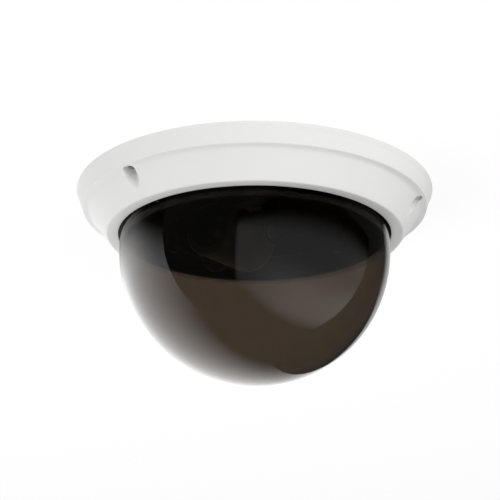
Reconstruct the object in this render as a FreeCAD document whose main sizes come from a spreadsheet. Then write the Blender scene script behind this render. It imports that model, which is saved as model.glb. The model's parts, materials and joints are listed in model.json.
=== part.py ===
"""A ceiling dome security camera: round cover and smoked bubble around a pan and tilt camera module.

Millimetres. The origin is the centre of the ceiling face, +Z points up into the ceiling, and the
camera hangs below it, so depths are negative Z. The front is -Y. An azimuth is measured from the
front, positive towards +X. The camera module is drawn looking along -Y and then turned to its rest
azimuth with the whole pan group.
"""

import math
import os
import re

import FreeCAD
import Part
import Sketcher
from FreeCAD import Placement, Rotation, Vector

# ---------------------------------------------------------------- driving dimensions

DIMENSIONS = (
    # cover casing: outer profile from the ceiling down to the lip round the bubble
    ("rim_radius", 100.0),
    ("bevel_radius", 98.3),
    ("bevel_depth", 3.4),
    ("band_radius", 96.1),
    ("band_depth", 10.5),
    ("ledge_depth", 11.0),
    ("cone_radius", 92.45),
    ("lip_radius", 82.37),
    ("lip_depth", 25.2),
    ("lip_inner_radius", 75.9),
    ("casing_bore_radius", 96.0),
    ("seat_radius", 81.3),
    ("seat_depth", 21.0),
    ("cone_wall", 4.0),
    ("ledge_inner_depth", 8.0),
    ("cone_fillet", 3.2),
    ("lip_fillet", 1.5),
    ("band_fillet", 0.5),
    # the cover's screw pockets
    ("pocket_circle_radius", 90.4),
    ("pocket_radius", 4.2),
    ("pocket_floor_depth", 7.0),
    ("boss_top_depth", 4.0),
    ("boss_angle", 9.0),
    ("boss_inward", 5.8),
    ("boss_outward", 5.5),
    ("pocket_azimuth", -45.0),
    # smoked bubble, its gasket and clamp ring
    ("bubble_radius", 75.0),
    ("bubble_wall", 2.0),
    ("bubble_centre_depth", 33.7),
    ("flange_radius", 80.8),
    ("flange_top_depth", 18.2),
    ("flange_bottom_depth", 20.2),
    ("gasket_lip_depth", 24.7),
    ("clamp_inner_radius", 74.0),
    ("clamp_top_depth", 15.7),
    ("clamp_circle_radius", 78.4),
    ("clamp_thread_depth", 24.0),
    # base plate
    ("plate_radius", 94.5),
    ("plate_thickness", 3.0),
    ("cover_pillar_radius", 4.0),
    ("gimbal_pillar_radius", 4.0),
    ("gimbal_circle_radius", 58.0),
    ("gimbal_top_depth", 14.1),
    ("gimbal_thread_length", 8.0),
    ("spigot_radius", 2.5),
    ("spigot_height", 2.0),
    ("board_post_radius", 2.6),
    ("short_thread_length", 2.0),
    ("mount_circle_radius", 68.0),
    ("mount_hole_radius", 2.75),
    ("mount_azimuth", 20.0),
    ("cable_azimuth", 240.0),
    ("cable_hole_radius", 9.0),
    ("cable_bore_radius", 3.5),
    ("grommet_flange_radius", 11.0),
    ("grommet_flange_thickness", 1.5),
    ("grommet_wall", 1.5),
    ("seal_top_depth", 0.6),
    ("seal_bottom_depth", 2.6),
    # fixed gimbal ring and black liner
    ("gimbal_bore_radius", 47.0),
    ("gimbal_ring_radius", 62.0),
    ("gimbal_bottom_depth", 16.5),
    ("liner_post_radius", 3.0),
    ("liner_post_circle_radius", 54.5),
    ("liner_thread_length", 4.0),
    ("liner_radius", 72.7),
    ("liner_wall", 1.5),
    ("liner_top_depth", 17.5),
    ("liner_deck_depth", 20.8),
    ("liner_inner_depth", 22.3),
    ("liner_bottom_depth", 25.4),
    ("liner_step_radius", 60.5),
    ("liner_hole_radius", 48.0),
    # pan carrier: an inverted cup that turns in the gimbal ring
    ("carrier_radius", 46.95),
    ("carrier_neck_radius", 45.0),
    ("carrier_inner_radius", 43.0),
    ("carrier_top_depth", 7.8),
    ("carrier_roof_depth", 9.4),
    ("carrier_shoulder_depth", 13.8),
    ("carrier_bottom_depth", 19.5),
    ("carrier_hole_radius", 5.0),
    ("pan_at_rest", -38.0),
    # gears, all of module one
    ("gear_module", 1.0),
    ("gear_backlash", 0.15),
    ("pan_gear_teeth", 104.0),
    ("pan_pinion_teeth", 15.0),
    ("pan_gear_top_depth", 11.0),
    ("pan_motor_azimuth", 155.0),
    ("tilt_gear_teeth", 24.0),
    ("tilt_pinion_teeth", 12.0),
    ("tilt_gear_width", 3.0),
    ("tilt_pinion_elevation", 35.0),
    # motors
    ("pan_motor_radius", 10.0),
    ("pan_motor_bottom_depth", 10.2),
    ("tilt_motor_radius", 7.0),
    ("tilt_motor_length", 11.0),
    ("motor_shaft_radius", 1.0),
    ("motor_bore_radius", 1.05),
    ("ear_thickness", 1.0),
    ("motor_collar_radius", 3.0),
    ("pan_ear_reach", 13.5),
    ("pan_ear_width", 7.0),
    ("tilt_ear_reach", 9.5),
    ("tilt_ear_width", 5.0),
    # yoke and tilt axis
    ("tilt_axis_depth", 30.0),
    ("tilt_axis_forward", 10.0),
    ("yoke_gap", 17.2),
    ("yoke_thickness", 2.5),
    ("yoke_half_width", 6.0),
    ("yoke_plate_thickness", 1.2),
    ("bush_radius", 4.5),
    ("bush_bore_radius", 3.05),
    ("pin_radius", 3.0),
    ("bracket_offset", 24.0),
    ("bracket_thickness", 1.0),
    ("bracket_flange_length", 10.0),
    ("bracket_flange_width", 14.0),
    # camera module
    ("module_radius", 16.0),
    ("module_wall", 2.0),
    ("module_front", 30.0),
    ("module_split", 4.0),
    ("module_back", 14.0),
    ("window_radius", 12.5),
    ("window_thickness", 1.4),
    ("lens_radius", 9.0),
    ("lens_thread_radius", 6.5),
    ("lens_front", 24.0),
    ("lens_element_radius", 7.0),
    ("focus_ring_bore_radius", 9.06),
    ("focus_ring_radius", 11.6),
    ("focus_ring_start", 19.0),
    ("focus_ring_width", 6.0),
    ("focus_groove_radius", 0.6),
    ("lens_stop_radius", 3.5),
    ("lens_element_length", 3.4),
    ("lens_shoulder", 10.0),
    ("lens_back", 3.0),
    ("mount_disc_front", 7.0),
    ("mount_disc_back", 4.0),
    ("sensor_post_radius", 1.8),
    ("sensor_post_length", 2.5),
    ("sensor_board_side", 19.0),
    ("sensor_board_front", 2.0),
    ("sensor_board_thickness", 1.2),
    ("sensor_length", 6.4),
    ("sensor_width", 5.4),
    ("sensor_height", 0.8),
    # main board
    ("board_inner_radius", 64.0),
    ("board_outer_radius", 83.0),
    ("board_top_depth", 6.0),
    ("board_thickness", 1.6),
    ("board_start", 30.0),
    ("board_end", 100.0),
    ("header_width", 5.0),
    ("header_height", 4.5),
    ("header_wall", 0.8),
    ("header_floor", 1.0),
    ("network_header_length", 20.0),
    ("power_header_length", 9.0),
    ("pin_pitch", 2.0),
    ("pin_side", 0.5),
    ("pin_length", 3.4),
    ("processor_side", 14.0),
    ("processor_height", 1.4),
    ("sink_side", 13.0),
    ("sink_plate", 1.0),
    ("fin_height", 3.0),
    ("card_slot_length", 12.0),
    ("card_slot_width", 9.0),
    ("card_slot_height", 1.6),
    ("card_slot_wall", 0.3),
    ("lamp_radius", 1.5),
    ("lamp_collar_radius", 1.8),
    ("lamp_height", 1.6),
    ("lamp_collar_height", 0.6),
    ("switch_side", 6.0),
    ("switch_height", 3.5),
    ("button_radius", 1.5),
    ("button_bore_radius", 1.55),
    ("button_length", 2.3),
    ("button_start", 2.2),
    # screws
    ("large_head_radius", 3.3),
    ("large_head_height", 2.4),
    ("large_shank_radius", 2.0),
    ("medium_head_radius", 2.7),
    ("medium_head_height", 1.8),
    ("medium_shank_radius", 1.5),
    ("small_head_radius", 1.9),
    ("small_head_height", 1.3),
    ("small_shank_radius", 1.0),
)
SIZE = dict(DIMENSIONS)

UP = Vector(0, 0, 1)
COVER_SCREW_COUNT = 3
CLAMP_SCREW_COUNT = 6
MOUNT_HOLE_COUNT = 4
GIMBAL_AZIMUTHS = (60, 180, 300)
LINER_AZIMUTHS = (0, 120, 240)
BOARD_POST_PLACES = ((67, 36), (67, 94), (80, 36), (80, 94))
YOKE_SCREW_PLACES = ((-12, -10), (12, -10))
BRACKET_SCREW_PLACES = ((-30, 0), (-30, 9))
SENSOR_SCREW_PLACES = ((-7.2, -7.2), (7.2, 7.2))
FIN_COUNT = 5
FOCUS_GROOVE_COUNT = 24
SCREW_CLEARANCE = 0.2
FACE_GAP = 0.1

doc = FreeCAD.newDocument("dome_camera")
sheet = doc.addObject("Spreadsheet::Sheet", "dims")
nodes = []


def fill_sheet():
    for row, (alias, value) in enumerate(DIMENSIONS, 1):
        sheet.set(f"A{row}", alias)
        sheet.set(f"B{row}", str(value))
        sheet.setAlias(f"B{row}", alias)
    doc.recompute()


def bound(formula):
    """A formula in plain dimension names, pointed at the sheet's cells."""
    def cell(match):
        word = match.group()
        return "dims." + word if word in SIZE else word
    return re.sub(r"[a-z_]+", cell, str(formula))


def polar(radius, azimuth):
    """The X and Y formulas of a point at a radius and an azimuth from the front."""
    return f"({radius}) * sin({azimuth} deg)", f"-({radius}) * cos({azimuth} deg)"


def polar_place(radius, azimuth, z):
    """A placement on a circle round the pan axis, its own -Y pointing outwards."""
    turn = Rotation(UP, azimuth)
    return Placement(turn.multVec(Vector(0, -radius, 0)) + Vector(0, 0, z), turn)


PAN_PLACE = Placement(Vector(), Rotation(UP, SIZE["pan_at_rest"]))
TILT_PLACE = PAN_PLACE * Placement(
    Vector(0, -SIZE["tilt_axis_forward"], -SIZE["tilt_axis_depth"]), Rotation())

# ---------------------------------------------------------------- sketches and features


def new_body(node, place=None):
    body = doc.addObject("PartDesign::Body", node)
    body.Label = node
    if place:
        body.Placement = place
    nodes.append(body)
    return body


def sketch_on(body, role, offset="0"):
    """An empty sketch on one of the body's own origin planes, moved along the plane's normal."""
    sketch = body.newObject("Sketcher::SketchObject", body.Label + "_sketch")
    plane = next(item for item in body.Origin.OriginFeatures if item.Role == role)
    sketch.AttachmentSupport = (plane, [""])
    sketch.MapMode = "FlatFace"
    sketch.setExpression("AttachmentOffset.Base.z", bound(offset))
    return sketch


def pin_point(sketch, geometry, vertex, across, along):
    """Fix one vertex by its distances from the sketch's origin."""
    for kind, formula in (("DistanceX", across), ("DistanceY", along)):
        index = sketch.addConstraint(Sketcher.Constraint(kind, -1, 1, geometry, vertex, 1.0))
        sketch.setExpression(f"Constraints[{index}]", bound(formula))


def draw_outline(sketch, points):
    """A closed outline of straight lines, each corner given by two formulas."""
    count = len(points)
    corners = [Vector(math.cos(2 * math.pi * i / count), math.sin(2 * math.pi * i / count), 0)
               for i in range(count)]
    first = sketch.GeometryCount
    for i in range(count):
        sketch.addGeometry(Part.LineSegment(corners[i], corners[(i + 1) % count]))
    for i in range(count):
        after = first + (i + 1) % count
        sketch.addConstraint(Sketcher.Constraint("Coincident", first + i, 2, after, 1))
    for i, (across, along) in enumerate(points):
        pin_point(sketch, first + i, 1, across, along)


def draw_circle(sketch, across, along, radius):
    index = sketch.addGeometry(Part.Circle(Vector(1, 1, 0), Vector(0, 0, 1), 1.0))
    pin_point(sketch, index, 3, across, along)
    limit = sketch.addConstraint(Sketcher.Constraint("Radius", index, 1.0))
    sketch.setExpression(f"Constraints[{limit}]", bound(radius))


def revolve(body, sketch, angle="360", both_ways=False):
    """Turn a sketch about its own vertical axis."""
    feature = body.newObject("PartDesign::Revolution", body.Label + "_turned")
    feature.Profile = sketch
    feature.ReferenceAxis = (sketch, ["V_Axis"])
    feature.Midplane = both_ways
    feature.setExpression("Angle", bound(angle))
    doc.recompute()
    return feature


def pad(body, sketch, length, backwards=False):
    feature = body.newObject("PartDesign::Pad", body.Label + "_pad")
    feature.Profile = sketch
    feature.Reversed = backwards
    feature.setExpression("Length", bound(length))
    doc.recompute()
    return feature


def pocket(body, sketch, length, along_normal=False):
    """Cut a sketch away, against the plane's normal unless told otherwise."""
    before = body.Shape.Volume
    feature = body.newObject("PartDesign::Pocket", body.Label + "_pocket")
    feature.Profile = sketch
    feature.Reversed = along_normal
    feature.setExpression("Length", bound(length))
    doc.recompute()
    if body.Shape.Volume >= before:
        raise RuntimeError(f"a pocket of {body.Label} cuts nothing")
    return feature


def repeat_round(body, features, count):
    """Repeat features evenly round the body's vertical axis."""
    axis = next(item for item in body.Origin.OriginFeatures if item.Role == "Z_Axis")
    feature = body.newObject("PartDesign::PolarPattern", body.Label + "_pattern")
    feature.Originals = features
    feature.Axis = (axis, [""])
    feature.Angle = 360
    feature.Occurrences = count
    body.Tip = feature
    doc.recompute()


def round_edges(body, base, radius, circles):
    """Fillet the circular edges with the given radii at the given heights along the axis."""
    names = []
    for index, edge in enumerate(base.Shape.Edges, 1):
        if not isinstance(edge.Curve, Part.Circle):
            continue
        place = edge.Curve.Center
        for edge_radius, height in circles:
            on_axis = max(abs(place.z - height), abs(edge.Curve.Radius - edge_radius)) < 0.01
            across = max(abs(place.y - height), abs(edge.Curve.Radius - edge_radius)) < 0.01
            if on_axis or across:
                names.append(f"Edge{index}")
    if len(names) != len(circles):
        raise RuntimeError(f"{body.Label}: {len(names)} edges found for {len(circles)} fillets")
    feature = body.newObject("PartDesign::Fillet", body.Label + "_fillet")
    feature.Base = (base, names)
    feature.setExpression("Radius", bound(radius))
    doc.recompute()
    return feature


def turned_part(node, points, plane="XZ_Plane", place=None):
    """A body of revolution from a closed outline of radius and height formulas."""
    body = new_body(node, place)
    sketch = sketch_on(body, plane)
    draw_outline(sketch, points)
    revolve(body, sketch)
    return body


# ---------------------------------------------------------------- primitives and booleans


def cylinder(radius, height, place):
    """A round bar that starts at the placement's origin and runs along its Z axis."""
    item = doc.addObject("Part::Cylinder", "bar")
    item.setExpression("Radius", bound(radius))
    item.setExpression("Height", bound(height))
    item.Placement = place
    return item


def box(length, width, height, place):
    """A block centred on the placement's X and Y that rises along its Z axis."""
    item = doc.addObject("Part::Box", "block")
    for name, formula in (("Length", length), ("Width", width), ("Height", height)):
        item.setExpression(name, bound(formula))
    doc.recompute()
    shift = Vector(-item.Length.Value / 2, -item.Width.Value / 2, 0)
    item.Placement = place * Placement(shift, Rotation())
    return item


def fuse(items):
    if len(items) == 1:
        return items[0]
    item = doc.addObject("Part::MultiFuse", "joined")
    item.Shapes = items
    return item


def cut(base, tools):
    item = doc.addObject("Part::Cut", "cut")
    item.Base = base
    item.Tool = fuse(tools)
    return item


def as_node(node, item):
    item.Label = node
    nodes.append(item)
    return item


def group(node, items):
    """Several equal loose pieces that share one node."""
    item = doc.addObject("Part::Compound", node)
    item.Links = items
    return as_node(node, item)


def shape_node(node, shape, place):
    """A node whose outline is worked out point by point."""
    item = doc.addObject("Part::Feature", node)
    item.Shape = shape
    item.Placement = place
    return as_node(node, item)


def screws(node, kind, length, places):
    """Screws with a hexagon socket; the placement's origin is under the head, its Z along the shank."""
    pieces = []
    for place in places:
        head_place = place * Placement(Vector(), Rotation(Vector(1, 0, 0), 180))
        head = cylinder(f"{kind}_head_radius", f"{kind}_head_height", head_place)
        shank = cylinder(f"{kind}_shank_radius", length, place)
        socket = doc.addObject("Part::Prism", "socket")
        socket.Polygon = 6
        socket.setExpression("Circumradius", bound(f"{kind}_head_radius * 0.5"))
        socket.setExpression("Height", bound(f"{kind}_head_height"))
        depth = SIZE[f"{kind}_head_height"]
        socket.Placement = head_place * Placement(Vector(0, 0, depth * 0.4), Rotation())
        pieces.append(cut(fuse([head, shank]), [socket]))
    return group(node, pieces)


# ---------------------------------------------------------------- gears


def involute(angle):
    return math.tan(angle) - angle


def gear_face(teeth, backlash):
    """The outline of a spur gear: each flank follows its involute in three short faces."""
    module = SIZE["gear_module"]
    pressure = math.radians(20)
    pitch_radius = module * teeth / 2
    base_radius = pitch_radius * math.cos(pressure)
    tip_radius = pitch_radius + module
    root_radius = pitch_radius - 1.2 * module
    start_radius = max(base_radius, root_radius + 0.05 * module)
    half_tooth = math.pi / (2 * teeth) - backlash / (2 * pitch_radius)
    flank = []
    for share in (0, 0.35, 0.7, 1):
        radius = start_radius + share * (tip_radius - start_radius)
        lean = involute(pressure) - involute(math.acos(min(1, base_radius / radius)))
        flank.append((radius, half_tooth + lean))
    flank.insert(0, (root_radius, flank[0][1] + 0.15 * math.pi / teeth))
    points = []
    for tooth in range(int(teeth)):
        middle = 2 * math.pi * tooth / teeth
        for radius, half in flank:
            points.append(Vector(radius * math.cos(middle - half), radius * math.sin(middle - half)))
        for radius, half in reversed(flank):
            points.append(Vector(radius * math.cos(middle + half), radius * math.sin(middle + half)))
    return Part.Face(Part.makePolygon(points + points[:1]))


def gear(node, teeth, bore, width, place):
    """A spur gear from z 0 to its width, bored through."""
    blank = gear_face(teeth, SIZE["gear_backlash"] / 2).extrude(Vector(0, 0, width))
    hole = Part.makeCylinder(bore, width + 2, Vector(0, 0, -1))
    return shape_node(node, blank.cut(hole), place)


def mesh_turn(wheel_teeth, pinion_teeth, direction):
    """How far a pinion is turned so that it meshes with a wheel whose first tooth lies at 0 degrees."""
    wheel_pitch = 360 / wheel_teeth
    pinion_pitch = 360 / pinion_teeth
    share = direction / wheel_pitch - round(direction / wheel_pitch)
    return direction + 180 + share * pinion_pitch + pinion_pitch / 2


# ---------------------------------------------------------------- cover, bubble and seals


def make_cover_casing():
    """The white cover: bevel, band, ledge and cone down to the lip, with three screw pockets."""
    body = new_body("cover_casing")
    outline = sketch_on(body, "XZ_Plane")
    draw_outline(outline, (
        ("rim_radius", "0"),
        ("bevel_radius", "-bevel_depth"),
        ("band_radius", "-band_depth"),
        ("cone_radius", "-ledge_depth"),
        ("lip_radius", "-lip_depth"),
        ("lip_inner_radius", "-lip_depth"),
        ("lip_inner_radius", "-seat_depth"),
        ("seat_radius", "-seat_depth"),
        ("cone_radius - cone_wall", "-ledge_depth"),
        ("cone_radius - cone_wall + 2.1", "-ledge_inner_depth"),
        ("casing_bore_radius - 1.8", "-ledge_inner_depth"),
        ("casing_bore_radius", "-bevel_depth"),
        ("casing_bore_radius", "0"),
    ))
    shell = revolve(body, outline)
    shell = round_edges(body, shell, "cone_fillet", ((SIZE["cone_radius"], -SIZE["ledge_depth"]),))
    shell = round_edges(body, shell, "lip_fillet", ((SIZE["lip_radius"], -SIZE["lip_depth"]),))
    shell = round_edges(body, shell, "band_fillet", (
        (SIZE["band_radius"], -SIZE["band_depth"]),
        (SIZE["lip_inner_radius"], -SIZE["lip_depth"]),
        (SIZE["bevel_radius"], -SIZE["bevel_depth"]),
    ))
    boss_sketch = sketch_on(body, "XZ_Plane")
    draw_outline(boss_sketch, (
        ("pocket_circle_radius - boss_inward", "-boss_top_depth"),
        ("pocket_circle_radius + boss_outward", "-boss_top_depth"),
        ("pocket_circle_radius + boss_outward", "-ledge_inner_depth - 1"),
        ("pocket_circle_radius + 3.2", "-ledge_inner_depth - 1.5"),
        ("pocket_circle_radius - boss_inward", "-seat_depth + 0.5"),
    ))
    boss = revolve(body, boss_sketch, "boss_angle", both_ways=True)
    recess_sketch = sketch_on(body, "XY_Plane", "-pocket_floor_depth")
    draw_circle(recess_sketch, "pocket_circle_radius", "0", "pocket_radius")
    recess = pocket(body, recess_sketch, "lip_depth")
    hole_sketch = sketch_on(body, "XY_Plane", "-pocket_floor_depth")
    draw_circle(hole_sketch, "pocket_circle_radius", "0", f"large_shank_radius + {SCREW_CLEARANCE}")
    hole = pocket(body, hole_sketch, "pocket_floor_depth", along_normal=True)
    repeat_round(body, [boss, recess, hole], COVER_SCREW_COUNT)
    thread_sketch = sketch_on(body, "XY_Plane", "-seat_depth")
    draw_circle(thread_sketch, "clamp_circle_radius", "0", "small_shank_radius")
    thread = pocket(body, thread_sketch, "clamp_thread_depth - seat_depth")
    repeat_round(body, [thread], CLAMP_SCREW_COUNT)
    body.Placement = Placement(Vector(), Rotation(UP, SIZE["pocket_azimuth"] - 90))


def ring_with_holes(node, points, hole_radius):
    """A turned ring in the bubble's clamp stack, pierced for the clamp screws."""
    body = turned_part(node, points, place=Placement(
        Vector(), Rotation(UP, SIZE["pocket_azimuth"] - 90)))
    sketch = sketch_on(body, "XY_Plane")
    draw_circle(sketch, "clamp_circle_radius", "0", hole_radius)
    holes = pocket(body, sketch, "lip_depth")
    repeat_round(body, [holes], CLAMP_SCREW_COUNT)


def make_dome_bubble():
    """A hemisphere with a short straight neck and a flat flange, pierced for the clamp screws."""
    centre = Placement(Vector(0, 0, -SIZE["bubble_centre_depth"]), Rotation())
    solids = []
    for radius in ("bubble_radius", "bubble_radius - bubble_wall"):
        bowl = doc.addObject("Part::Sphere", "bowl")
        bowl.Placement = centre
        bowl.Angle1 = -90
        bowl.Angle2 = 0
        bowl.setExpression("Radius", bound(radius))
        neck = cylinder(radius, "bubble_centre_depth - flange_top_depth", centre)
        solids.append(fuse([bowl, neck]))
    flange = cylinder("flange_radius", "flange_bottom_depth - flange_top_depth",
                      Placement(Vector(0, 0, -SIZE["flange_bottom_depth"]), Rotation()))
    holes = [cylinder(f"small_shank_radius + {SCREW_CLEARANCE}", 6, polar_place(
        SIZE["clamp_circle_radius"], azimuth, -SIZE["seat_depth"])) for azimuth in clamp_azimuths()]
    as_node("dome_bubble", cut(fuse([solids[0], flange]), [solids[1]] + holes))


def clamp_azimuths():
    return [SIZE["pocket_azimuth"] + 360 / CLAMP_SCREW_COUNT * i for i in range(CLAMP_SCREW_COUNT)]


def make_cover_group():
    make_cover_casing()
    make_dome_bubble()
    clearance = f"small_shank_radius + {SCREW_CLEARANCE}"
    ring_with_holes("dome_gasket", (
        ("bubble_radius", "-flange_bottom_depth"),
        ("flange_radius", "-flange_bottom_depth"),
        ("flange_radius", "-seat_depth"),
        ("lip_inner_radius", "-seat_depth"),
        ("lip_inner_radius", "-gasket_lip_depth"),
        ("bubble_radius", "-gasket_lip_depth"),
    ), clearance)
    ring_with_holes("dome_clamp_ring", (
        ("clamp_inner_radius", "-clamp_top_depth"),
        ("flange_radius", "-clamp_top_depth"),
        ("flange_radius", "-flange_top_depth"),
        ("clamp_inner_radius", "-flange_top_depth"),
    ), clearance)
    downwards = Placement(Vector(), Rotation(Vector(1, 0, 0), 180))
    screws("clamp_ring_screws", "small", "clamp_thread_depth - clamp_top_depth - 0.3", [
        polar_place(SIZE["clamp_circle_radius"], azimuth, -SIZE["clamp_top_depth"]) * downwards
        for azimuth in clamp_azimuths()])
    screws("cover_screws", "large", "pocket_floor_depth - 1", [
        polar_place(SIZE["pocket_circle_radius"], azimuth, -SIZE["pocket_floor_depth"])
        for azimuth in cover_azimuths()])
    turned_part("base_seal", (
        ("plate_radius", "-seal_top_depth"),
        ("casing_bore_radius", "-seal_top_depth"),
        ("casing_bore_radius", "-seal_bottom_depth"),
        ("plate_radius", "-seal_bottom_depth"),
    ))


# ---------------------------------------------------------------- base plate and fixed ring


def circles_at(sketch, circle_radius, azimuths, radius):
    for azimuth in azimuths:
        draw_circle(sketch, *polar(circle_radius, azimuth), radius)


def cover_azimuths():
    return [SIZE["pocket_azimuth"] + 120 * i for i in range(COVER_SCREW_COUNT)]


def mount_azimuths():
    return [SIZE["mount_azimuth"] + 360 / MOUNT_HOLE_COUNT * i for i in range(MOUNT_HOLE_COUNT)]


def pan_motor_axis_radius():
    teeth = SIZE["pan_gear_teeth"] + SIZE["pan_pinion_teeth"]
    return SIZE["gear_module"] * teeth / 2 + SIZE["gear_backlash"]


def pan_motor_place(z, across=0.0):
    return polar_place(pan_motor_axis_radius(), SIZE["pan_motor_azimuth"], z) * Placement(
        Vector(across, 0, 0), Rotation())


def make_base_plate():
    """The die-cast disc against the ceiling, with low posts for the cover and the board."""
    body = new_body("base_plate")
    disc = sketch_on(body, "XY_Plane")
    draw_circle(disc, "0", "0", "plate_radius")
    pad(body, disc, "plate_thickness", backwards=True)
    overlap = "-plate_thickness + 1"
    cover_posts = sketch_on(body, "XY_Plane", overlap)
    circles_at(cover_posts, "pocket_circle_radius", cover_azimuths(), "cover_pillar_radius")
    pad(body, cover_posts, "boss_top_depth - plate_thickness + 1", backwards=True)
    board_posts = sketch_on(body, "XY_Plane", overlap)
    for radius, azimuth in BOARD_POST_PLACES:
        draw_circle(board_posts, *polar(radius, azimuth), "board_post_radius")
    pad(body, board_posts, "board_top_depth - plate_thickness + 1", backwards=True)
    through = sketch_on(body, "XY_Plane")
    circles_at(through, "mount_circle_radius", mount_azimuths(), "mount_hole_radius")
    circles_at(through, "mount_circle_radius", [SIZE["cable_azimuth"]], "cable_hole_radius")
    circles_at(through, "pocket_circle_radius", cover_azimuths(), "large_shank_radius")
    pocket(body, through, "boss_top_depth + 1")
    sockets = sketch_on(body, "XY_Plane", "-plate_thickness")
    circles_at(sockets, "gimbal_circle_radius", GIMBAL_AZIMUTHS, "spigot_radius")
    pocket(body, sockets, "spigot_height", along_normal=True)
    board_threads = sketch_on(body, "XY_Plane", "-board_top_depth")
    for radius, azimuth in BOARD_POST_PLACES:
        draw_circle(board_threads, *polar(radius, azimuth), "small_shank_radius")
    pocket(body, board_threads, "short_thread_length", along_normal=True)
    motor_threads = sketch_on(body, "XY_Plane", "-plate_thickness")
    for across in (-SIZE["pan_ear_reach"], SIZE["pan_ear_reach"]):
        place = pan_motor_place(0, across).Base
        draw_circle(motor_threads, place.x, place.y, "small_shank_radius")
    pocket(body, motor_threads, "short_thread_length", along_normal=True)


def make_gimbal_pillars():
    """Three turned spacers, riveted into the base plate by their spigots and threaded below."""
    pillars = []
    for azimuth in GIMBAL_AZIMUTHS:
        foot = polar_place(SIZE["gimbal_circle_radius"], azimuth, -SIZE["gimbal_top_depth"])
        column = cylinder("gimbal_pillar_radius", "gimbal_top_depth - plate_thickness", foot)
        spigot = cylinder("spigot_radius", "gimbal_top_depth - plate_thickness + spigot_height", foot)
        thread = cylinder("medium_shank_radius", "gimbal_thread_length", foot)
        pillars.append(cut(fuse([column, spigot]), [thread]))
    group("gimbal_pillars", pillars)


def make_cable_grommet():
    """A rubber bush with a flange on the inside, bored for the network cable."""
    turned_part("cable_grommet", (
        ("cable_bore_radius", "0"),
        ("cable_hole_radius", "0"),
        ("cable_hole_radius", "-plate_thickness"),
        ("grommet_flange_radius", "-plate_thickness"),
        ("grommet_flange_radius", "-plate_thickness - grommet_flange_thickness"),
        ("cable_bore_radius + grommet_wall", "-plate_thickness - grommet_flange_thickness - grommet_wall"),
        ("cable_bore_radius", "-plate_thickness - grommet_flange_thickness - grommet_wall"),
    ), place=polar_place(SIZE["mount_circle_radius"], SIZE["cable_azimuth"], 0))


def make_gimbal_ring():
    """The fixed ring that the pan carrier turns in, hung on the base plate's three pillars."""
    body = turned_part("gimbal_ring", (
        ("gimbal_bore_radius", "-gimbal_top_depth"),
        ("gimbal_ring_radius", "-gimbal_top_depth"),
        ("gimbal_ring_radius", "-gimbal_bottom_depth"),
        ("gimbal_bore_radius", "-gimbal_bottom_depth"),
    ))
    posts = sketch_on(body, "XY_Plane", "-gimbal_bottom_depth + 1")
    circles_at(posts, "liner_post_circle_radius", LINER_AZIMUTHS, "liner_post_radius")
    pad(body, posts, "liner_deck_depth - gimbal_bottom_depth + 1", backwards=True)
    threads = sketch_on(body, "XY_Plane", "-liner_deck_depth")
    circles_at(threads, "liner_post_circle_radius", LINER_AZIMUTHS, "small_shank_radius")
    pocket(body, threads, "liner_thread_length", along_normal=True)
    holes = sketch_on(body, "XY_Plane")
    circles_at(holes, "gimbal_circle_radius", GIMBAL_AZIMUTHS, f"medium_shank_radius + {SCREW_CLEARANCE}")
    pocket(body, holes, "lip_depth")
    screws("gimbal_screws", "medium", "gimbal_thread_length + 1", [
        polar_place(SIZE["gimbal_circle_radius"], azimuth, -SIZE["gimbal_bottom_depth"])
        for azimuth in GIMBAL_AZIMUTHS])


def make_liner():
    """The black liner behind the bubble: skirt, stepped deck and the round opening for the camera."""
    body = turned_part("liner_shroud", (
        ("liner_radius", "-liner_top_depth"),
        ("liner_radius", "-liner_bottom_depth"),
        ("liner_radius - liner_wall", "-liner_bottom_depth"),
        ("liner_radius - liner_wall", "-liner_deck_depth"),
        ("liner_step_radius + 1", "-liner_deck_depth"),
        ("liner_step_radius", "-liner_inner_depth"),
        ("liner_hole_radius + 1", "-liner_inner_depth"),
        ("liner_hole_radius", "-liner_inner_depth + 1"),
        ("liner_hole_radius", "-liner_inner_depth + liner_wall"),
        ("liner_step_radius - 0.7", "-liner_inner_depth + liner_wall"),
        ("liner_step_radius + 0.3", "-liner_deck_depth + liner_wall"),
        ("liner_radius - liner_wall", "-liner_deck_depth + liner_wall"),
        ("liner_radius - liner_wall", "-liner_top_depth"),
    ))
    holes = sketch_on(body, "XY_Plane")
    circles_at(holes, "liner_post_circle_radius", LINER_AZIMUTHS, f"small_shank_radius + {SCREW_CLEARANCE}")
    pocket(body, holes, "liner_bottom_depth")
    screws("liner_screws", "small", "liner_wall + 3.5", [
        polar_place(SIZE["liner_post_circle_radius"], azimuth, -SIZE["liner_inner_depth"])
        for azimuth in LINER_AZIMUTHS])


# ---------------------------------------------------------------- electronics


def board_bottom():
    return -SIZE["board_top_depth"] - SIZE["board_thickness"]


def under_board(radius, azimuth, drop=0.0):
    """A placement on the board's lower face with its Z pointing down."""
    return polar_place(radius, azimuth, board_bottom() - drop) * Placement(
        Vector(), Rotation(Vector(0, 1, 0), 180))


def make_main_board():
    """A curved board beside the gimbal, with its parts on the lower face."""
    body = new_body("main_board")
    sketch = sketch_on(body, "XZ_Plane")
    draw_outline(sketch, (
        ("board_inner_radius", "-board_top_depth"),
        ("board_outer_radius", "-board_top_depth"),
        ("board_outer_radius", "-board_top_depth - board_thickness"),
        ("board_inner_radius", "-board_top_depth - board_thickness"),
    ))
    revolve(body, sketch, "board_end - board_start", both_ways=True)
    middle = (SIZE["board_start"] + SIZE["board_end"]) / 2
    holes = sketch_on(body, "XY_Plane")
    for radius, azimuth in BOARD_POST_PLACES:
        draw_circle(holes, *polar(radius, azimuth - middle + 90), f"small_shank_radius + {SCREW_CLEARANCE}")
    pocket(body, holes, "lip_depth")
    body.Placement = Placement(Vector(), Rotation(UP, middle - 90))
    screws("board_screws", "small", "board_thickness + 1.6", [
        polar_place(radius, azimuth, board_bottom()) for radius, azimuth in BOARD_POST_PLACES])


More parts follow.
